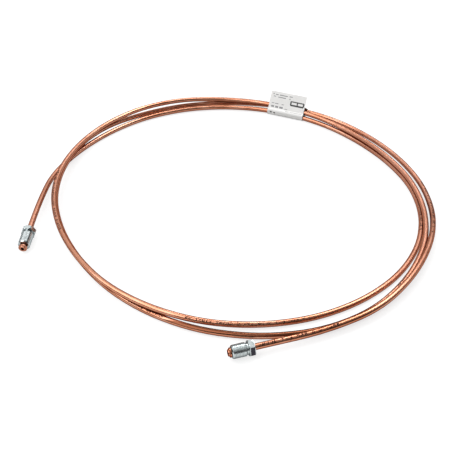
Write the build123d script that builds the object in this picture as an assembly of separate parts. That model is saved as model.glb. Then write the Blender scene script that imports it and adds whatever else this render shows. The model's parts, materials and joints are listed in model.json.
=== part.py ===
from build123d import *
from math import acos, asin, atan2, cos, degrees, floor, hypot, pi, radians, sin, tan
import os

# A loose coil of hard copper brake tube: two and three quarter turns, a bubble
# flare and a tube nut at each end, and a paper flag label round the turns.
# All sizes are in mm. The floor is z = 0, and the Z axis is the middle of the
# whole coil's box, a little off the middle of its turns.

# Tube
tube_od = 4.75
tube_wall = 0.9
strand_gap = 0.35
pitch = tube_od + strand_gap

# Bubble flare on each tube end
flare_od = 7.1
flare_length = 2.4
flare_nose = 1.1
flare_step = 0.3
flare_mouth = 3.4

# Tube nuts, M10 x 1 with an 11 mm hexagon: a long one and a short one
nut_bore_clearance = 0.15
nut_mouth = 6.2
thread_od = 10.0
thread_a_length = 14.0
thread_b_length = 10.9
thread_chamfer = 0.8
relief_od = 8.6
relief_length = 1.3
hex_across_flats = 11.0
hex_length = 4.3
hex_chamfer_angle = 30.0
nut_seat_gap = 0.1
nut_floor_gap = 0.1
nut_a_neck = 2.0
nut_a_roll = -5.0
nut_b_roll = 10.0

# Coil: the route has a station every 30 degrees, clockwise from the left side.
# Each one says how far out from the coil's radius and how far up from the floor
# the tube lies there, both in strand pitches.
coil_radius = 165.0
coil_middle_x = 3.79
coil_middle_y = 11.57
station_step = 30.0
first_turn = [
    (2.5, 0.1), (0.9, 0.0), (-0.1, 0.1), (-1.4, 0.1), (-2.3, 0.1), (-2.3, 0.05),
    (-0.4, 0.0), (0.3, 0.1), (-0.3, 0.0), (-0.8, 0.25), (-0.8, 1.15), (-1.2, 1.45),
]
second_turn = [
    (-0.1, 1.95), (0.9, 1.85), (1.6, 1.65), (0.2, 1.0), (-1.7, 1.0), (-2.3, 1.1),
    (-0.4, 1.1), (1.4, 0.95), (2.2, 0.0), (1.1, 0.15), (-0.9, 0.0), (-1.6, 0.45),
]
third_turn = [
    (-0.1, 0.75), (1.5, 1.1), (1.6, 0.05), (0.5, 0.1), (0.6, 0.1), (0.7, 0.0),
    (1.5, 0.25), (2.1, 1.7), (3.1, 1.0),
]
route = first_turn + second_turn + third_turn
corner_step = 15.0
arc_fill = 0.95

# The straight tube ends: where round the coil each starts, how far out in
# pitches, which way it runs as seen from above, and how long it is
leg_a_angle = -5.0
leg_a_out = 2.3
leg_a_heading = -90.3
leg_a_length = 65.6
leg_b_angle = 970.0
leg_b_out = 2.95
leg_b_heading = 196.3
leg_b_length = 73.1

# Label: one sheet folded round the three strands, its two plies stuck together
# into a flag that stands up against the middle strand
label_sheet = 0.25
label_width = 39.6
label_angle = 111.0
label_skew = 2.0
label_lean = 57.0
label_shoulder_rise = 0.6
label_crease_rise = 1.4
label_crease_bend = 1.0
label_flag_height = 12.6
label_stuck_length = 11.0
label_stuck_bend = 0.3

# Joined shapes run this far into each other
joint_overlap = 1.0

tube_radius = tube_od / 2
flare_radius = flare_od / 2
hex_corner_radius = hex_across_flats / 2 / cos(radians(30))
leg_height = hex_corner_radius + nut_floor_gap


def between(values, place):
    """A smooth value at a place along the stations."""
    i = min(floor(place), len(values) - 2)
    s = place - i
    before = values[max(i - 1, 0)]
    here, there = values[i], values[i + 1]
    after = values[min(i + 2, len(values) - 1)]
    slope_here = (there - before) / 2
    slope_there = (after - here) / 2
    blend = s * s * (3 - 2 * s)
    bend = slope_here * (s ** 3 - 2 * s * s + s) + slope_there * (s ** 3 - s * s)
    return here * (1 - blend) + there * blend + bend


def eased(values, place):
    """A value that never passes beyond its two stations, level at each of them."""
    i = min(floor(place), len(values) - 2)
    s = place - i
    blend = s * s * (3 - 2 * s)
    return values[i] * (1 - blend) + values[i + 1] * blend


def strand_radius(angle):
    return coil_radius + between([out for out, up in route], angle / station_step) * pitch


def strand_height(angle):
    return tube_radius + eased([up for out, up in route], angle / station_step) * pitch


def outward(angle):
    return Vector(-cos(radians(angle)), sin(radians(angle)), 0)


def on_ring(angle, radius, height):
    return Vector(coil_middle_x, coil_middle_y, height) + outward(angle) * radius


def leg(angle, out, heading, length):
    """A straight end: its start on the coil, its tip and its direction."""
    start = on_ring(angle, coil_radius + out * pitch, leg_height)
    along = Vector(cos(radians(heading)), sin(radians(heading)), 0)
    return start, start + along * length, along


def both_legs():
    leg_a = leg(leg_a_angle, leg_a_out, leg_a_heading, leg_a_length)
    leg_b = leg(leg_b_angle, leg_b_out, leg_b_heading, leg_b_length)
    return leg_a, leg_b


def route_corners():
    """Corners of the route, far enough out that arcs between them follow the coil."""
    (start_a, tip_a, _), (start_b, tip_b, _) = both_legs()
    corners = [tip_a, start_a]
    for i in range(1, round((leg_b_angle - leg_a_angle) / corner_step)):
        angle = leg_a_angle + i * corner_step
        radius = strand_radius(angle) / cos(radians(corner_step / 2))
        corners.append(on_ring(angle, radius, strand_height(angle)))
    return corners + [start_b, tip_b]


def corner_radii(corners):
    """The bend radius at each inner corner, nearly the largest that fits its two sides."""
    radii = []
    last = len(corners) - 2
    for i in range(1, len(corners) - 1):
        back = corners[i - 1] - corners[i]
        ahead = corners[i + 1] - corners[i]
        room_back = back.length / (1 if i == 1 else 2)
        room_ahead = ahead.length / (1 if i == last else 2)
        cosine = back.normalized().dot(ahead.normalized())
        turn = pi - acos(max(-1.0, min(1.0, cosine)))
        radii.append(min(room_back, room_ahead) * arc_fill / tan(turn / 2))
    return radii


def flare(tip, inward):
    """A bubble flare: flat behind, rounded in front, with the tube's own bore."""
    bore = tube_radius - tube_wall
    tube_reach = flare_length + joint_overlap
    rim_back = flare_length - flare_step
    with BuildSketch(Plane.XZ) as profile:
        with BuildLine():
            Polyline(
                (bore, tube_reach),
                (tube_radius, tube_reach),
                (tube_radius, flare_length),
                (flare_radius, rim_back),
                (flare_radius, flare_nose),
            )
            RadiusArc((flare_radius, flare_nose), (flare_radius - flare_nose, 0), -flare_nose)
            Polyline(
                (flare_radius - flare_nose, 0),
                (flare_mouth / 2, 0),
                (bore, flare_mouth / 2 - bore),
                (bore, tube_reach),
            )
        make_face()
    solid = revolve(profile.sketch, Axis.Z)
    return Plane(origin=tip, z_dir=inward) * solid


def make_tube():
    corners = route_corners()
    path = FilletPolyline(*corners, radius=corner_radii(corners))
    inward_a = (corners[1] - corners[0]).normalized()
    inward_b = (corners[-2] - corners[-1]).normalized()
    section_plane = Plane(origin=corners[0], z_dir=inward_a)
    section = Circle(tube_radius) - Circle(tube_radius - tube_wall)
    tube = sweep(section_plane * section, path)
    return tube + flare(corners[0], inward_a) + flare(corners[-1], inward_b)


def make_nut(thread_length):
    """A male tube nut on the Z axis, thread end at z = 0 and hexagon on top."""
    bore_radius = tube_radius + nut_bore_clearance
    thread_radius = thread_od / 2
    relief_end = thread_length + relief_length
    with BuildSketch(Plane.XZ) as profile:
        with BuildLine():
            Polyline(
                (bore_radius, nut_mouth / 2 - bore_radius),
                (nut_mouth / 2, 0),
                (thread_radius - thread_chamfer, 0),
                (thread_radius, thread_chamfer),
                (thread_radius, thread_length - thread_chamfer),
                (relief_od / 2, thread_length),
                (relief_od / 2, relief_end + joint_overlap),
                (bore_radius, relief_end + joint_overlap),
                (bore_radius, nut_mouth / 2 - bore_radius),
            )
        make_face()
    shank = revolve(profile.sketch, Axis.Z)

    hexagon = extrude(RegularPolygon(hex_corner_radius, 6), hex_length)
    edge_drop = (hex_corner_radius - hex_across_flats / 2) * tan(radians(hex_chamfer_angle))
    with BuildSketch(Plane.XZ) as envelope:
        with BuildLine():
            Polyline(
                (bore_radius, 0),
                (hex_across_flats / 2, 0),
                (hex_corner_radius, edge_drop),
                (hex_corner_radius, hex_length - edge_drop),
                (hex_across_flats / 2, hex_length),
                (bore_radius, hex_length),
                (bore_radius, 0),
            )
        make_face()
    head = hexagon & revolve(envelope.sketch, Axis.Z)
    return shank + Pos(0, 0, relief_end) * head


def place_nut(nut, tip, inward, distance, roll):
    """Seats a nut on a tube end, turned by roll from having a flat of its hexagon down."""
    across = inward.cross(Vector(0, 0, 1))
    plane = Plane(origin=tip + inward * distance, x_dir=across, z_dir=inward)
    return plane * Rot(0, 0, roll) * nut


def span_under_label(turn, origin, across):
    """The nearest and farthest that a turn of the coil lies across the label's width."""
    half = degrees(label_width / 2 / coil_radius)
    angles = [turn + half * i / 2 for i in range(-2, 3)]
    places = [on_ring(angle, strand_radius(angle), 0) for angle in angles]
    spots = [(place - origin).dot(across) for place in places]
    return min(spots), max(spots)


def make_label():
    """The flag label: its cross-section, x outward across the strands and y up, drawn out."""
    turns = (label_angle, label_angle + 360, label_angle + 720)
    across = outward(label_angle + label_skew)
    along = across.cross(Vector(0, 0, 1))
    origin = on_ring(label_angle, strand_radius(label_angle), 0)
    low, high, _ = (strand_height(turn) for turn in turns)
    inner, middle, outer = (span_under_label(turn, origin, across) for turn in turns)
    clear = tube_radius + strand_gap
    lean = radians(label_lean)
    rest_x, rest_y = middle[0] - clear * sin(lean), high + clear * cos(lean)

    ground = label_sheet / 2
    front = inner[0] - clear
    back = outer[1] + clear
    shoulder = low + clear + label_shoulder_rise
    crease = shoulder + label_crease_rise
    stuck = high + clear + label_flag_height - label_stuck_length * sin(lean)
    crease_x = rest_x + (crease - rest_y) / tan(lean)
    stuck_x = rest_x + (stuck - rest_y) / tan(lean)

    # The rear ply runs straight from the flag to just clear of the outer strand
    drop, run = stuck - low, outer[1] - stuck_x
    steep = atan2(drop, run) - asin(clear / hypot(drop, run))
    heel = stuck - (back - stuck_x) * tan(steep)
    corners = [
        (stuck_x, stuck),
        (crease_x, crease),
        (front, shoulder),
        (front, ground),
        (back, ground),
        (back, heel),
    ]
    bends = [label_stuck_bend, label_crease_bend] + [tube_radius] * 4
    line = Wire(FilletPolyline(*corners, radius=bends, close=True).edges())
    loop = make_face(line.offset_2d(label_sheet / 2)) - make_face(line.offset_2d(-label_sheet / 2))

    flag_length = label_stuck_length + label_sheet
    flag = Rectangle(flag_length, label_sheet * 2, align=(Align.MIN, Align.CENTER))
    foot = Pos(stuck_x, stuck) * Rot(0, 0, label_lean) * Pos(-label_sheet, -label_sheet / 2)
    plane = Plane(origin=origin - along * (label_width / 2), x_dir=across, z_dir=along)
    return plane * extrude(loop + foot * flag, label_width)


def main():
    os.makedirs("parts", exist_ok=True)
    (_, tip_a, along_a), (_, tip_b, along_b) = both_legs()
    nut_a, nut_b = make_nut(thread_a_length), make_nut(thread_b_length)
    seat = flare_length + nut_seat_gap
    pieces = {
        "tube": make_tube(),
        "tube_nut_a": place_nut(nut_a, tip_a, along_a * -1, seat + nut_a_neck, nut_a_roll),
        "tube_nut_b": place_nut(nut_b, tip_b, along_b * -1, seat, nut_b_roll),
        "label": make_label(),
    }
    for name, piece in pieces.items():
        export_step(piece, f"parts/{name}.step")


main()
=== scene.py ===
import json
from math import cos, pi, radians, sin, tan
from types import SimpleNamespace

import bpy
from mathutils import Matrix, Vector
from mathutils.bvhtree import BVHTree


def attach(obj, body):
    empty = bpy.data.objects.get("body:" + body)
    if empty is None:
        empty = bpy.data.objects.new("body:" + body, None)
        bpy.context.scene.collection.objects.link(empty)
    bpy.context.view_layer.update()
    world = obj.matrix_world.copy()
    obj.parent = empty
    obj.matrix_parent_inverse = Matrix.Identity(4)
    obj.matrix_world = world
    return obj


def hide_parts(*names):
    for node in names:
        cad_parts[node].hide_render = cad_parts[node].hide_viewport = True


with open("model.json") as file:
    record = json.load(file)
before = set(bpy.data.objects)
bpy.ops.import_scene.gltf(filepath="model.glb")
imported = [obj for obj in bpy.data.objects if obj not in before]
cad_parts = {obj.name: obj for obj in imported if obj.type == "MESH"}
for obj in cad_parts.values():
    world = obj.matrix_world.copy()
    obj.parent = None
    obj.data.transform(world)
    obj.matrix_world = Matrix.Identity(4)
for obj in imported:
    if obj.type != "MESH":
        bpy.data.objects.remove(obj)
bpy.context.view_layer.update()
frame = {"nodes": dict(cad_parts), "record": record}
nodes = frame["nodes"]
joints = {joint["name"]: joint for joint in frame["record"]["behaviour"]["joints"]}

# Camera, fitted to the photograph: pixels, metres and degrees from straight down
FRAME_PX = 450
FOCAL_PX = 666.5
SENSOR_MM = 36.0
CAMERA_AT = Vector((-0.00671, -0.47863, 0.36810))
CAMERA_TILT = 50.6
CLIP_NEAR = 0.01
CLIP_FAR = 20.0

# The coil's turns, in metres
COIL_MIDDLE = (0.00379, 0.01157)
COIL_RADIUS = 0.165
TUBE_RADIUS = 0.002375

# Tube nuts, in metres
BORE_RADIUS = 0.002525
MOUTH_RADIUS = 0.0031
CREST_RADIUS = 0.005
THREAD_PITCH = 0.001
THREAD_DEPTH = 0.00022
THREAD_LENGTHS = {"a": 0.014, "b": 0.0109}
THREAD_CHAMFER = 0.0008
THREAD_FADE = 0.0012
RELIEF_RADIUS = 0.0043
RELIEF_LENGTH = 0.0013
HEX_SIDES = 6
HEX_FLATS = 0.011
HEX_CORNER = HEX_FLATS / 2 / cos(pi / HEX_SIDES)
HEX_LENGTH = 0.0043
BACK_BEVEL = 0.0003
FINE_STEP = 0.0001

# How far each nut is rolled from having a flat down, in degrees, and its flat with painted shade if
# any
NUT_ROLLS = {"a": -5.0, "b": 10.0}
SHADED_FLATS = {"a": None, "b": 5}

# A thread groove's flat root and its flank, as shares of half the pitch
ROOT_SHARE = 0.06
FLANK_SHARE = 0.26

# How fine a nut's mesh is, and the angles of its hexagon's chamfer and of a sharp edge
ROWS_A_PITCH = 12
AROUND = 72
HEX_CHAMFER_ANGLE = 30.0
SHARP_ANGLE = 28.0


# Shader helpers

def empty_tree(owner):
    owner.use_nodes = True
    owner.node_tree.nodes.clear()
    return owner.node_tree


def add(tree, kind, **settings):
    node = tree.nodes.new(kind)
    for key, value in settings.items():
        setattr(node, key, value)
    return node


def new_material(name):
    material = bpy.data.materials.new(name)
    tree = empty_tree(material)
    output = add(tree, "ShaderNodeOutputMaterial")
    shader = add(tree, "ShaderNodeBsdfPrincipled")
    tree.links.new(shader.outputs[0], output.inputs[0])
    return material, tree, shader


def math_node(tree, operation, *values):
    node = add(tree, "ShaderNodeMath", operation=operation)
    for socket, value in zip(node.inputs, values):
        if isinstance(value, (int, float)):
            socket.default_value = value
        else:
            tree.links.new(value, socket)
    return node.outputs[0]


def multiply(tree, first, *others):
    product = first
    for other in others:
        product = math_node(tree, "MULTIPLY", product, other)
    return product


def dot(tree, first, second):
    """The sum of the products of two pairs of values."""
    return math_node(tree, "ADD", *(multiply(tree, a, b) for a, b in zip(first, second)))


def within(tree, value, low, high):
    above = math_node(tree, "GREATER_THAN", value, low)
    return multiply(tree, above, math_node(tree, "LESS_THAN", value, high))


def split_xyz(tree, vector):
    node = add(tree, "ShaderNodeSeparateXYZ")
    tree.links.new(vector, node.inputs[0])
    return node.outputs


def join_xyz(tree, *parts):
    node = add(tree, "ShaderNodeCombineXYZ")
    for part, socket in zip(parts, node.inputs):
        tree.links.new(part, socket)
    return node.outputs[0]


def grey(level):
    return (level, level, level)


def ramp(tree, value, stops):
    node = add(tree, "ShaderNodeValToRGB")
    elements = node.color_ramp.elements
    while len(elements) < len(stops):
        elements.new(0.5)
    for element, (place, colour) in zip(elements, stops):
        element.position = place
        element.color = (*colour, 1.0)
    tree.links.new(value, node.inputs[0])
    return node.outputs[0]


def fade(tree, value, start, end, first=0.0, last=1.0):
    """A grey level that runs from first to last while the value runs from start to end."""
    return ramp(tree, value, [(start, grey(first)), (end, grey(last))])


def noise(tree, vector, scale, detail, roughness, turn=None):
    node = add(tree, "ShaderNodeTexNoise", noise_dimensions="3D" if turn is None else "4D")
    node.inputs["Scale"].default_value = scale
    node.inputs["Detail"].default_value = detail
    node.inputs["Roughness"].default_value = roughness
    tree.links.new(vector, node.inputs["Vector"])
    if turn is not None:
        tree.links.new(turn, node.inputs["W"])
    return node.outputs["Fac"]


def bump(tree, shader, height, strength, distance):
    node = add(tree, "ShaderNodeBump")
    node.inputs["Strength"].default_value = strength
    node.inputs["Distance"].default_value = distance
    tree.links.new(height, node.inputs["Height"])
    tree.links.new(node.outputs[0], shader.inputs["Normal"])


def mix_colour(tree, factor, first, second):
    node = add(tree, "ShaderNodeMix", data_type="RGBA")
    factor_socket, first_socket, second_socket = (node.inputs[i] for i in (0, 6, 7))
    tree.links.new(factor, factor_socket)
    for socket, value in ((first_socket, first), (second_socket, second)):
        if isinstance(value, tuple):
            socket.default_value = (*value, 1.0)
        else:
            tree.links.new(value, socket)
    return node.outputs[2]


# The coil's own coordinates

def coil_spot(tree):
    """Where a point lies on the coil, and how its surface faces there."""
    source = add(tree, "ShaderNodeTexCoord")
    spot = SimpleNamespace(place=source.outputs["Object"])
    place_x, place_y, spot.height = split_xyz(tree, spot.place)
    facing_x, facing_y, spot.facing_up = split_xyz(tree, source.outputs["Normal"])
    x = math_node(tree, "SUBTRACT", place_x, COIL_MIDDLE[0])
    y = math_node(tree, "SUBTRACT", place_y, COIL_MIDDLE[1])
    spot.radius = math_node(tree, "SQRT", dot(tree, (x, y), (x, y)))
    spot.east = math_node(tree, "DIVIDE", x, spot.radius)
    spot.north = math_node(tree, "DIVIDE", y, spot.radius)
    clock = math_node(tree, "ARCTAN2", y, multiply(tree, x, -1.0))
    spot.angle = math_node(tree, "FLOORED_MODULO", clock, 2 * pi)

    # How far it lies towards the far left, and how far to either side of the middle
    spot.far_left = math_node(tree, "SUBTRACT", y, x)
    spot.off_middle = math_node(tree, "ABSOLUTE", place_x)

    # How far the surface leans out from the coil, and how far it faces across the tube
    spot.leaning = dot(tree, (facing_x, facing_y), (spot.east, spot.north))
    across = (spot.leaning, spot.facing_up)
    spot.sideways = dot(tree, across, across)
    return spot


# Ink on the tube

# Runs of ink dots along the tube: clock angles in degrees, then the range of radius
# and of height in mm in which the run's own strand lies, then the side that it faces
INK_RUNS = (
    (252.0, 285.0, 155.0, 163.6, 0.0, 9.0, 27.0),
    (290.0, 301.5, 157.0, 165.0, 0.0, 5.0, 8.0),
    (246.0, 266.0, 176.5, 190.0, 5.2, 12.0, 16.0),
    (173.0, 200.0, 156.0, 168.5, 0.0, 5.2, -12.0),
    (174.0, 202.0, 170.6, 180.0, 0.0, 12.0, 6.0),
    (337.0, 360.0, 150.0, 170.0, 8.6, 16.0, 10.0),
    (0.0, 7.0, 158.0, 172.0, 9.0, 18.0, 10.0),
    (220.0, 227.0, 169.0, 175.2, 3.0, 8.0, -20.0),
)

# A dot's length and width in metres, the columns from one sign to the next, the limits of
# the columns and rows that are printed, and the shares of dots and of signs left blank
INK_COLUMN = 0.00052
INK_ROW = 0.00042
SIGN_COLUMNS = 5.0
COLUMN_LIMIT = 3.5
ROW_LIMIT = 2.5
BLANK_DOTS = 0.38
BLANK_SIGNS = 0.16


def ink_dots(tree, spot):
    """Where the printed dots are: columns along the tube, five rows across it."""
    along = multiply(tree, spot.angle, COIL_RADIUS)
    column = math_node(tree, "FLOOR", math_node(tree, "DIVIDE", along, INK_COLUMN))
    sign = math_node(tree, "FLOOR", math_node(tree, "DIVIDE", column, SIGN_COLUMNS))
    column_in_sign = math_node(tree, "FLOORED_MODULO", column, SIGN_COLUMNS)
    sign_chance = add(tree, "ShaderNodeTexWhiteNoise", noise_dimensions="1D")
    tree.links.new(sign, sign_chance.inputs["W"])
    printed = multiply(
        tree,
        math_node(tree, "LESS_THAN", column_in_sign, COLUMN_LIMIT),
        math_node(tree, "GREATER_THAN", sign_chance.outputs[0], BLANK_SIGNS),
    )
    side = math_node(tree, "ARCTAN2", spot.leaning, spot.facing_up)
    total = None
    for first, last, near, far, low, high, facing in INK_RUNS:
        across = multiply(tree, math_node(tree, "SUBTRACT", side, radians(facing)), TUBE_RADIUS)
        row = math_node(tree, "FLOOR", math_node(tree, "DIVIDE", across, INK_ROW))
        dot_chance = add(tree, "ShaderNodeTexWhiteNoise", noise_dimensions="3D")
        tree.links.new(join_xyz(tree, column, row), dot_chance.inputs["Vector"])
        here = multiply(
            tree,
            math_node(tree, "GREATER_THAN", dot_chance.outputs[0], BLANK_DOTS),
            within(tree, row, -ROW_LIMIT, ROW_LIMIT),
            within(tree, spot.angle, radians(first), radians(last)),
            within(tree, spot.radius, near / 1000, far / 1000),
            within(tree, spot.height, low / 1000, high / 1000),
        )
        total = here if total is None else math_node(tree, "MAXIMUM", total, here)
    return multiply(tree, total, printed)


# Copper

COPPER_DEEP = (0.52, 0.21, 0.12)
COPPER = (0.65, 0.30, 0.19)
COPPER_PALE = (0.70, 0.40, 0.28)
COPPER_EDGE = (0.22, 0.10, 0.07, 1.0)
TARNISH = (0.38, 0.13, 0.065)
DUST = (0.57, 0.28, 0.20)
DRAWN_LINES = (0.38, 0.14, 0.07)
SPECKS = (0.22, 0.09, 0.055)
FLARE_TARNISH = (0.26, 0.08, 0.04)
# Painted shade for the top of the front middle strand
PAINTED_STRAND_SHADE = (0.15, 0.05, 0.024)
# Painted shade for the tube's flanks and underside
PAINTED_FLANK_SHADE = (0.17, 0.05, 0.025)
TUBE_INK = (0.02, 0.01, 0.008)

# How far dust and ink cover the metal, what they add to its roughness, and how much
# less of a metal it is under ink
DUST_COVER = 0.7
INK_COVER = 0.95
DUST_DULLNESS = 0.14
INK_DULLNESS = 0.25
INK_METAL_LOSS = 0.8

# The middle strand at the front has painted shade on top, dark brown where it shows no highlight:
# share of a turn, then the range of radius that it lies in and the height that it lies below, in
# metres
STRAND_SHADE_TURN = [(0.62, grey(0.0)), (0.70, grey(0.95)), (0.80, grey(0.95)), (0.84, grey(0.0))]
STRAND_SHADE_RADII = (0.1655, 0.1760)
STRAND_SHADE_BELOW = 0.0055

# Radius in metres of the ring on which the drawn lines' noise runs round the coil
STREAK_RING = 0.004


def drawn_streaks(tree, spot):
    """Fine lines along the tube, from noise that changes slowly on the way round the coil."""
    section = join_xyz(tree, spot.radius, spot.height, multiply(tree, spot.east, STREAK_RING))
    turn = multiply(tree, spot.north, STREAK_RING)
    return noise(tree, section, scale=1500.0, detail=4.0, roughness=0.55, turn=turn)


def tarnish_patches(tree, spot):
    """Patches of tarnish, faintest at the far left."""
    patches = noise(tree, spot.place, scale=17.0, detail=2.0, roughness=0.5)
    return multiply(
        tree,
        fade(tree, patches, 0.47, 0.66, last=0.6),
        fade(tree, spot.far_left, 0.10, 0.24, first=1.0, last=0.1),
    )


# Painted shade: the front middle strand is darkened where its surface faces up
def painted_strand_shade(tree, spot):
    return multiply(
        tree,
        ramp(tree, math_node(tree, "DIVIDE", spot.angle, 2 * pi), STRAND_SHADE_TURN),
        within(tree, spot.radius, *STRAND_SHADE_RADII),
        math_node(tree, "LESS_THAN", spot.height, STRAND_SHADE_BELOW),
        fade(tree, spot.facing_up, 0.35, 0.7),
    )


# Painted shade: the tube's flanks and underside are darkened by which way they face
def painted_flank_shade(tree, spot):
    """Painted shade on the tube's sides and underside, but not on the faces that look along it."""
    return multiply(
        tree,
        fade(tree, spot.facing_up, 0.0, 0.30, first=0.75, last=0.0),
        fade(tree, spot.sideways, 0.12, 0.4),
    )


def copper_material():
    """Drawn copper alloy: streaks along the tube, haze, specks, painted shade on the flanks and on
    top of the front middle strand, and ink dots.
    """
    material, tree, shader = new_material("copper_drawn")
    spot = coil_spot(tree)
    haze = noise(tree, spot.place, scale=48.0, detail=4.0, roughness=0.55)
    specks = noise(tree, spot.place, scale=420.0, detail=2.0, roughness=0.5)
    streaks = drawn_streaks(tree, spot)
    dusty = fade(tree, spot.off_middle, 0.09, 0.16)
    ink = ink_dots(tree, spot)

    # Layers of colour over the bare metal, from the lowest up
    colour = ramp(tree, haze, [(0.32, COPPER_DEEP), (0.52, COPPER), (0.72, COPPER_PALE)])
    layers = (
        (tarnish_patches(tree, spot), TARNISH),
        (multiply(tree, dusty, DUST_COVER), DUST),
        (fade(tree, streaks, 0.35, 0.7, last=0.28), DRAWN_LINES),
        (fade(tree, specks, 0.66, 0.78, last=0.55), SPECKS),
        (fade(tree, spot.sideways, 0.6, 0.85, first=0.35, last=0.0), FLARE_TARNISH),
        # Painted shade on top of the front middle strand, then on the flanks and underside
        (painted_strand_shade(tree, spot), PAINTED_STRAND_SHADE),
        (painted_flank_shade(tree, spot), PAINTED_FLANK_SHADE),
        (multiply(tree, ink, INK_COVER), TUBE_INK),
    )
    for cover, layer in layers:
        colour = mix_colour(tree, cover, colour, layer)
    tree.links.new(colour, shader.inputs["Base Color"])

    metallic = math_node(tree, "SUBTRACT", 1.0, multiply(tree, ink, INK_METAL_LOSS))
    tree.links.new(metallic, shader.inputs["Metallic"])
    dusted = multiply(tree, dusty, DUST_DULLNESS)
    dulled = math_node(tree, "MULTIPLY_ADD", ink, INK_DULLNESS, dusted)
    hazy = fade(tree, haze, 0.3, 0.75, first=0.16, last=0.28)
    tree.links.new(math_node(tree, "ADD", hazy, dulled), shader.inputs["Roughness"])
    shader.inputs["Specular Tint"].default_value = COPPER_EDGE
    bump(tree, shader, streaks, strength=0.2, distance=0.00004)
    return material


# Nut materials

ZINC_GREY = (0.48, 0.53, 0.535)
ZINC_BRIGHT = (0.58, 0.625, 0.63)
ZINC_STAIN = (0.30, 0.33, 0.32)
# Painted shade for the nuts' undersides
ZINC_UNDERSIDE_SHADE = (0.17, 0.195, 0.195)
ZINC_EDGE = (0.30, 0.31, 0.32, 1.0)

# Dark films for painted shade, each from its thick to its thin places
FLAT_SHADE_FILM = ((0.016, 0.014, 0.022), (0.05, 0.045, 0.06))
BORE_SHADE_FILM = ((0.022, 0.012, 0.011), (0.075, 0.035, 0.028))


def zinc_material():
    """Bright zinc over turned steel, a little cloudy, with grey stains and painted shade on its
    underside.
    """
    material, tree, shader = new_material("zinc_plate")
    source = add(tree, "ShaderNodeTexCoord")
    place = source.outputs["Object"]
    facing_up = split_xyz(tree, source.outputs["Normal"])[2]
    clouds = noise(tree, place, scale=170.0, detail=3.0, roughness=0.5)
    stains = noise(tree, place, scale=620.0, detail=3.0, roughness=0.55)
    grain = noise(tree, place, scale=5200.0, detail=2.0, roughness=0.5)
    colour = ramp(tree, clouds, [(0.3, ZINC_GREY), (0.6, ZINC_BRIGHT)])
    stained = fade(tree, stains, 0.6, 0.8, last=0.45)
    colour = mix_colour(tree, stained, colour, ZINC_STAIN)
    # Painted shade: the zinc darkens where its surface faces down
    lifted = math_node(tree, "ADD", facing_up, 0.5)
    underside_shade = fade(tree, lifted, 0.2, 0.85, first=0.7, last=0.0)
    colour = mix_colour(tree, underside_shade, colour, ZINC_UNDERSIDE_SHADE)
    tree.links.new(colour, shader.inputs["Base Color"])
    shader.inputs["Metallic"].default_value = 1.0
    shader.inputs["Specular Tint"].default_value = ZINC_EDGE
    dullness = fade(tree, clouds, 0.3, 0.7, first=0.13, last=0.22)
    tree.links.new(dullness, shader.inputs["Roughness"])
    bump(tree, shader, grain, strength=0.08, distance=0.00001)
    return material


def film_material(name, scale, roughness, colours, dullness):
    """A dark film for painted shade, whose colour and dullness run from its thick to its thin
    places.
    """
    material, tree, shader = new_material(name)
    place = add(tree, "ShaderNodeTexCoord").outputs["Object"]
    film = noise(tree, place, scale=scale, detail=3.0, roughness=roughness)
    thick, thin = colours
    tree.links.new(ramp(tree, film, [(0.35, thick), (0.7, thin)]), shader.inputs["Base Color"])
    tree.links.new(fade(tree, film, 0.35, 0.7, *dullness), shader.inputs["Roughness"])
    return material, tree, shader, film


def flat_shade_material():
    """Painted shade on one flat of the hexagon: a dark, partly metallic film of uneven dullness."""
    material, tree, shader, film = film_material(
        "zinc_flat_painted_shade", scale=700.0, roughness=0.55, colours=FLAT_SHADE_FILM, dullness=(0.25, 0.40)
    )
    shader.inputs["Metallic"].default_value = 0.6
    bump(tree, shader, film, strength=0.08, distance=0.00001)
    return material


def bore_shade_material():
    """Painted shade inside the nut's bore and mouth, over bare oily steel where no plating reaches.
    """
    material, tree, shader, film = film_material(
        "nut_bore_painted_shade", scale=900.0, roughness=0.6, colours=BORE_SHADE_FILM, dullness=(0.45, 0.65)
    )
    bump(tree, shader, film, strength=0.1, distance=0.00002)
    return material


# Label materials

PAPER_SHADE = (0.80, 0.795, 0.78)
PAPER_WHITE = (0.85, 0.845, 0.83)

# Print inks, each from its full to its thin cover
BLACK_INK = ((0.018, 0.018, 0.02), (0.05, 0.05, 0.052))
GREY_INK = ((0.20, 0.20, 0.21), (0.40, 0.40, 0.41))


def paper_material():
    """White satin label paper with a faint fibre and a slight cast."""
    material, tree, shader = new_material("label_sheet")
    place = add(tree, "ShaderNodeTexCoord").outputs["Object"]
    fibre = noise(tree, place, scale=2600.0, detail=3.0, roughness=0.6)
    cloud = noise(tree, place, scale=90.0, detail=3.0, roughness=0.5)
    base = ramp(tree, cloud, [(0.35, PAPER_SHADE), (0.65, PAPER_WHITE)])
    tree.links.new(base, shader.inputs["Base Color"])
    dullness = fade(tree, fibre, 0.3, 0.7, first=0.42, last=0.56)
    tree.links.new(dullness, shader.inputs["Roughness"])
    bump(tree, shader, fibre, strength=0.15, distance=0.00003)
    return material


def ink_material(name, colours):
    """Print with uneven cover."""
    material, tree, shader = new_material(name)
    place = add(tree, "ShaderNodeTexCoord").outputs["Object"]
    cover = noise(tree, place, scale=2400.0, detail=3.0, roughness=0.6)
    full, thin = colours
    tree.links.new(ramp(tree, cover, [(0.4, full), (0.7, thin)]), shader.inputs["Base Color"])
    shader.inputs["Roughness"].default_value = 0.55
    return material


copper = copper_material()
zinc = zinc_material()
bore_shade = bore_shade_material()
flat_shade = flat_shade_material()
paper = paper_material()
print_black = ink_material("print_black", BLACK_INK)
print_grey = ink_material("print_grey", GREY_INK)


# Mesh helpers

def new_object(name, data):
    obj = bpy.data.objects.new(name, data)
    bpy.context.scene.collection.objects.link(obj)
    return obj


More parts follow.
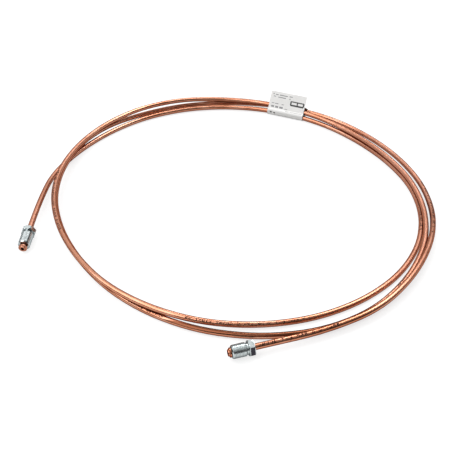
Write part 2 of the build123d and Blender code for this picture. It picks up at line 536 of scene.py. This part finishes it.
def mesh_object(name, verts, faces, materials, smooth=True):
    mesh = bpy.data.meshes.new(name)
    mesh.from_pydata([tuple(v) for v in verts], [], faces)
    mesh.validate()
    mesh.update()
    for material in materials:
        mesh.materials.append(material)
    for polygon in mesh.polygons:
        polygon.use_smooth = smooth
    return new_object(name, mesh)


def surface_of(name):
    """The CAD node's own surface, for setting marks down on it."""
    obj = nodes[name]
    return BVHTree.FromPolygons(
        [obj.matrix_world @ v.co for v in obj.data.vertices],
        [tuple(p.vertices) for p in obj.data.polygons],
    )


# Nuts

def thread_rows(length):
    """Heights of the rows of a thread's mesh."""
    steps = round(length / THREAD_PITCH * ROWS_A_PITCH)
    return [length * i / steps for i in range(steps + 1)]


def thread_radius(height, turn, length):
    """A shallow thread with wide flat crests, faded towards the hexagon, chamfered at both ends."""
    phase = (height / THREAD_PITCH - turn) % 1.0
    from_groove = abs(phase - 0.5) * 2
    climb = min(max((from_groove - ROOT_SHARE) / FLANK_SHARE, 0.0), 1.0)
    fading = min(1.0, max(0.0, (length - height) / THREAD_FADE))
    cut = CREST_RADIUS - THREAD_DEPTH * (1 - climb) * fading
    front = CREST_RADIUS - THREAD_CHAMFER + height
    back = CREST_RADIUS - THREAD_CHAMFER + (length - height)
    return min(cut, front, back)


def hex_radius(angle, share):
    """Radius of a hexagon whose corners are cut back: share 0 is round, share 1 is whole."""
    whole = HEX_FLATS / 2 / cos(angle % (2 * pi / HEX_SIDES) - pi / HEX_SIDES)
    return min(whole, HEX_FLATS / 2 + (HEX_CORNER - HEX_FLATS / 2) * share)


def ring(height, radius_at):
    angles = [2 * pi * k / AROUND for k in range(AROUND)]
    return [Vector((radius_at(a) * cos(a), radius_at(a) * sin(a), height)) for a in angles]


def round_ring(height, radius):
    return ring(height, lambda a: radius)


def nut_rings(thread_length):
    """Rings of a nut along +Z, mouth first and back of the bore last, and the flats' row."""
    relief_end = thread_length + RELIEF_LENGTH
    top = relief_end + HEX_LENGTH
    drop = (HEX_CORNER - HEX_FLATS / 2) * tan(radians(HEX_CHAMFER_ANGLE))
    rings = [
        round_ring(MOUTH_RADIUS - BORE_RADIUS, BORE_RADIUS),
        round_ring(0.0, MOUTH_RADIUS),
        round_ring(0.0, CREST_RADIUS - THREAD_CHAMFER - FINE_STEP),
    ]
    for height in thread_rows(thread_length):
        rings.append(ring(height, lambda a: thread_radius(height, a / (2 * pi), thread_length)))
    rings += [
        round_ring(thread_length + FINE_STEP, RELIEF_RADIUS),
        round_ring(relief_end - FINE_STEP, RELIEF_RADIUS),
        round_ring(relief_end, RELIEF_RADIUS + FINE_STEP),
        round_ring(relief_end, HEX_FLATS / 2 - FINE_STEP),
    ]
    for share in (0.0, 0.5, 1.0):
        rings.append(ring(relief_end + drop * share, lambda a: hex_radius(a, share)))
    flats_row = len(rings) - 1
    for share in (1.0, 0.5, 0.0):
        rings.append(ring(top - drop * share, lambda a: hex_radius(a, share)))
    rings += [
        round_ring(top, HEX_FLATS / 2 - FINE_STEP),
        round_ring(top, BORE_RADIUS + BACK_BEVEL),
        round_ring(top - BACK_BEVEL, BORE_RADIUS),
    ]
    return rings, flats_row


def nut_mesh(name, thread_length, shaded_flat):
    """A male tube nut: thread end at 0, hexagon on top, bore through it."""
    rings, flats_row = nut_rings(thread_length)
    count = len(rings)
    faces = []
    for i in range(count):
        j = (i + 1) % count
        for k in range(AROUND):
            m = (k + 1) % AROUND
            faces.append((i * AROUND + k, i * AROUND + m, j * AROUND + m, j * AROUND + k))
    verts = [v for row in rings for v in row]
    materials = (zinc, bore_shade, flat_shade)
    obj = mesh_object(name, verts, faces, materials)
    # Painted shade: the bore and mouth rows get the dark bore film
    bore_rows = (0, count - 1)
    for polygon in obj.data.polygons:
        row, step = divmod(polygon.index, AROUND)
        if row in bore_rows:
            polygon.material_index = materials.index(bore_shade)
        # Painted shade: one flat of the hexagon gets the dark flat film
        elif row == flats_row and step // (AROUND // HEX_SIDES) == shaded_flat:
            polygon.material_index = materials.index(flat_shade)
    obj.data.set_sharp_from_angle(angle=radians(SHARP_ANGLE))
    return obj


def place_nut(obj, joint, length, roll):
    """Lays a nut along its joint, hexagon towards the coil, rolled from having a flat down."""
    outward = Vector(joint["axis"]).normalized()
    inward = -outward
    across = inward.cross(Vector((0, 0, 1))).normalized()
    down = inward.cross(across)
    basis = Matrix((across, down, inward)).transposed()
    start = Vector(joint["pos_m"]) + outward * (length / 2)
    turn = Matrix.Rotation(radians(roll), 4, "Z")
    obj.data.transform(Matrix.Translation(start) @ basis.to_4x4() @ turn)
    obj.data.update()


for letter, roll in NUT_ROLLS.items():
    nut = nut_mesh("nut_" + letter + "_turned", THREAD_LENGTHS[letter], SHADED_FLATS[letter])
    whole = THREAD_LENGTHS[letter] + RELIEF_LENGTH + HEX_LENGTH
    place_nut(nut, joints["nut_" + letter + "_turn"], whole, roll)
    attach(nut, "nut_" + letter)
    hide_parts("tube_nut_" + letter)


# Tube and label keep their CAD shape

def dress(name, material):
    obj = nodes[name]
    obj.data.materials.clear()
    obj.data.materials.append(material)


dress("tube", copper)
dress("label", paper)


# Camera

camera_data = bpy.data.cameras.new("camera")
camera_data.sensor_width = SENSOR_MM
camera_data.lens = FOCAL_PX / FRAME_PX * SENSOR_MM
camera_data.clip_start = CLIP_NEAR
camera_data.clip_end = CLIP_FAR
camera = new_object("camera", camera_data)
camera.location = CAMERA_AT
camera.rotation_euler = (radians(CAMERA_TILT), 0, 0)
bpy.context.scene.camera = camera


def pixel_ray(x, y):
    """Direction of the ray through a pixel of the photograph."""
    right = Vector((1, 0, 0))
    up = Vector((0, cos(radians(CAMERA_TILT)), sin(radians(CAMERA_TILT))))
    ahead = Vector((0, sin(radians(CAMERA_TILT)), -cos(radians(CAMERA_TILT))))
    half = FRAME_PX / 2
    return (ahead * FOCAL_PX + right * (x - half) + up * (half - y)).normalized()


# Print on the label

# Plain bars stand where the real label has its words, and a plain box frame where it has
# its mark. Each is a start and an end pixel of the photograph, x then y, and a width in mm.
BARS_GREY = (
    (273.6, 93.3, 274.7, 93.5, 0.8),
    (276.0, 94.2, 278.6, 94.8, 0.9),
    (280.0, 95.1, 287.8, 96.6, 0.9),
    (289.6, 96.8, 292.8, 97.4, 0.8),
    (274.0, 95.8, 276.2, 96.3, 0.7),
    (278.3, 97.0, 286.0, 98.6, 0.9),
    (289.4, 99.2, 290.6, 99.4, 0.9),
    (271.8, 102.3, 274.4, 102.9, 0.6),
    (275.2, 103.2, 278.4, 103.9, 0.7),
    (281.5, 104.6, 283.8, 105.0, 0.6),
    (271.2, 105.6, 274.0, 106.2, 1.9),
    (275.2, 106.5, 278.0, 107.1, 1.9),
    (279.3, 107.4, 282.6, 108.1, 1.9),
    (284.6, 109.3, 287.2, 109.8, 0.6),
    (285.0, 111.4, 288.4, 112.1, 0.4),
    (289.6, 112.3, 301.6, 114.8, 0.4),
)
BOX_FRAME = (
    (290.9, 101.6, 303.9, 104.3, 1.1),
    (290.3, 105.2, 303.0, 107.8, 1.7),
    (291.3, 101.6, 290.5, 105.4, 1.5),
    (303.9, 104.3, 303.1, 107.8, 1.5),
    (297.6, 103.2, 297.0, 106.4, 1.2),
)
BARS_BLACK = (
    (270.0, 111.4, 271.6, 111.8, 1.6),
    (273.3, 112.4, 275.0, 112.8, 1.2),
)

# How far the print stands proud of the paper, in metres
PRINT_RISE = 0.00003


def bar_corners(paper_surface, bar):
    """Corners of a bar seen from the camera at its two pixels, just proud of the paper."""
    start_x, start_y, end_x, end_y, width_mm = bar
    ends = []
    for x, y in ((start_x, start_y), (end_x, end_y)):
        spot, facing, _, _ = paper_surface.ray_cast(CAMERA_AT, pixel_ray(x, y))
        ends.append((spot, facing.normalized()))
    along = (ends[1][0] - ends[0][0]).normalized()
    corners = []
    for sign, (spot, facing) in ((1, ends[0]), (-1, ends[1])):
        side = facing.cross(along).normalized() * (width_mm / 1000 / 2)
        raised = spot + facing * PRINT_RISE
        corners += [raised + side * sign, raised - side * sign]
    return corners


def print_bars(name, bars, material):
    paper_surface = surface_of("label")
    verts = [corner for bar in bars for corner in bar_corners(paper_surface, bar)]
    faces = [tuple(range(i, i + 4)) for i in range(0, len(verts), 4)]
    obj = mesh_object(name, verts, faces, (material,), smooth=False)
    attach(obj, "coil")


print_bars("label_print_grey", BARS_GREY, print_grey)
print_bars("label_print_black", BOX_FRAME + BARS_BLACK, print_black)


# Floor

# From its middle to each side and down from the coil's underside, in metres
FLOOR_REACH = 6.0
FLOOR_DROP = 0.0001
FLOOR_CORNERS = ((-1, -1), (1, -1), (1, 1), (-1, 1))
FLOOR_COLOUR = (0.32, 0.32, 0.32, 1.0)
GLOW_COLOUR = (1.0, 1.0, 1.0, 1.0)
GLOW_STRENGTH = 0.74


def seen_directly(tree):
    """1 for rays from the camera, off metal and through glass, 0 for rays that only carry light."""
    rays = add(tree, "ShaderNodeLightPath").outputs
    shiny = math_node(tree, "MAXIMUM", rays["Is Glossy Ray"], rays["Is Transmission Ray"])
    return math_node(tree, "MAXIMUM", rays["Is Camera Ray"], shiny)


def floor_material():
    """Matt grey, brightened where it is seen so that it reads as the photo's white ground."""
    material = bpy.data.materials.new("floor_white")
    tree = empty_tree(material)
    output = add(tree, "ShaderNodeOutputMaterial")
    diffuse = add(tree, "ShaderNodeBsdfDiffuse")
    diffuse.inputs["Color"].default_value = FLOOR_COLOUR
    glow = add(tree, "ShaderNodeEmission")
    glow.inputs["Color"].default_value = GLOW_COLOUR
    strength = multiply(tree, seen_directly(tree), GLOW_STRENGTH)
    tree.links.new(strength, glow.inputs["Strength"])
    both = add(tree, "ShaderNodeAddShader")
    tree.links.new(diffuse.outputs[0], both.inputs[0])
    tree.links.new(glow.outputs[0], both.inputs[1])
    tree.links.new(both.outputs[0], output.inputs[0])
    return material


floor_verts = [(x * FLOOR_REACH, y * FLOOR_REACH, 0) for x, y in FLOOR_CORNERS]
floor = mesh_object("floor", floor_verts, [(0, 1, 2, 3)], (floor_material(),), smooth=False)
floor.location.z = -FLOOR_DROP


# Sky

# Brightness by the sine of the height above the horizon, behind the coil and before it
SKY_BEHIND = (
    (0.0, grey(1.0)), (0.12, grey(1.0)), (0.16, grey(0.05)),
    (0.38, grey(0.07)), (0.46, grey(1.0)), (1.0, grey(0.95)),
)
SKY_BEFORE = (
    (0.0, grey(1.0)), (0.075, grey(1.0)), (0.12, grey(0.05)),
    (0.60, grey(0.10)), (0.90, grey(0.50)), (1.0, grey(0.55)),
)

# How much lower the dark band behind the coil comes at the left, and where along the
# depth, 0 before the coil and 1 behind it, one sky gives way to the other
LEFT_LOWERING = 0.9
SKY_SEAM = (0.42, 0.64)


def sky():
    """White along the horizon, a dark band above it, then white behind and grey before the coil."""
    world = bpy.data.worlds.new("studio")
    bpy.context.scene.world = world
    tree = empty_tree(world)
    output = add(tree, "ShaderNodeOutputWorld")
    background = add(tree, "ShaderNodeBackground")
    direction = add(tree, "ShaderNodeTexCoord").outputs["Generated"]
    east, north, up = split_xyz(tree, direction)
    leftward = math_node(tree, "MAXIMUM", multiply(tree, east, -1.0), 0.0)
    stretch = math_node(tree, "MULTIPLY_ADD", leftward, LEFT_LOWERING, 1.0)
    behind = ramp(tree, multiply(tree, up, stretch), SKY_BEHIND)
    before = ramp(tree, up, SKY_BEFORE)
    depth = math_node(tree, "MULTIPLY_ADD", north, 0.5, 0.5)
    share = fade(tree, depth, *SKY_SEAM)
    tree.links.new(mix_colour(tree, share, before, behind), background.inputs["Color"])
    background.inputs["Strength"].default_value = 1.0
    tree.links.new(background.outputs[0], output.inputs[0])


sky()


# Lamps

# Name, place and size in metres, and power in watts
LAMPS = (
    ("key_left", (-0.58, 1.1, 0.95), (0.8, 0.38), 0.4),
    ("key_right", (0.32, 1.1, 0.95), (0.9, 0.38), 0.6),
    ("overhead", (0.4, 0.6, 1.15), (0.9, 0.22), 6.2),
    ("fill", (-0.75, -0.45, 1.15), (1.5, 1.5), 17.5),
)


def area_lamp(name, place, size, power):
    """A rectangular lamp aimed at the middle of the floor."""
    data = bpy.data.lights.new(name, "AREA")
    data.shape = "RECTANGLE"
    data.size, data.size_y = size
    data.energy = power
    lamp = new_object(name, data)
    lamp.location = place
    lamp.rotation_euler = (-Vector(place)).to_track_quat("-Z", "Y").to_euler()


for name, place, size, power in LAMPS:
    area_lamp(name, place, size, power)

bpy.context.scene.view_settings.view_transform = "Standard"
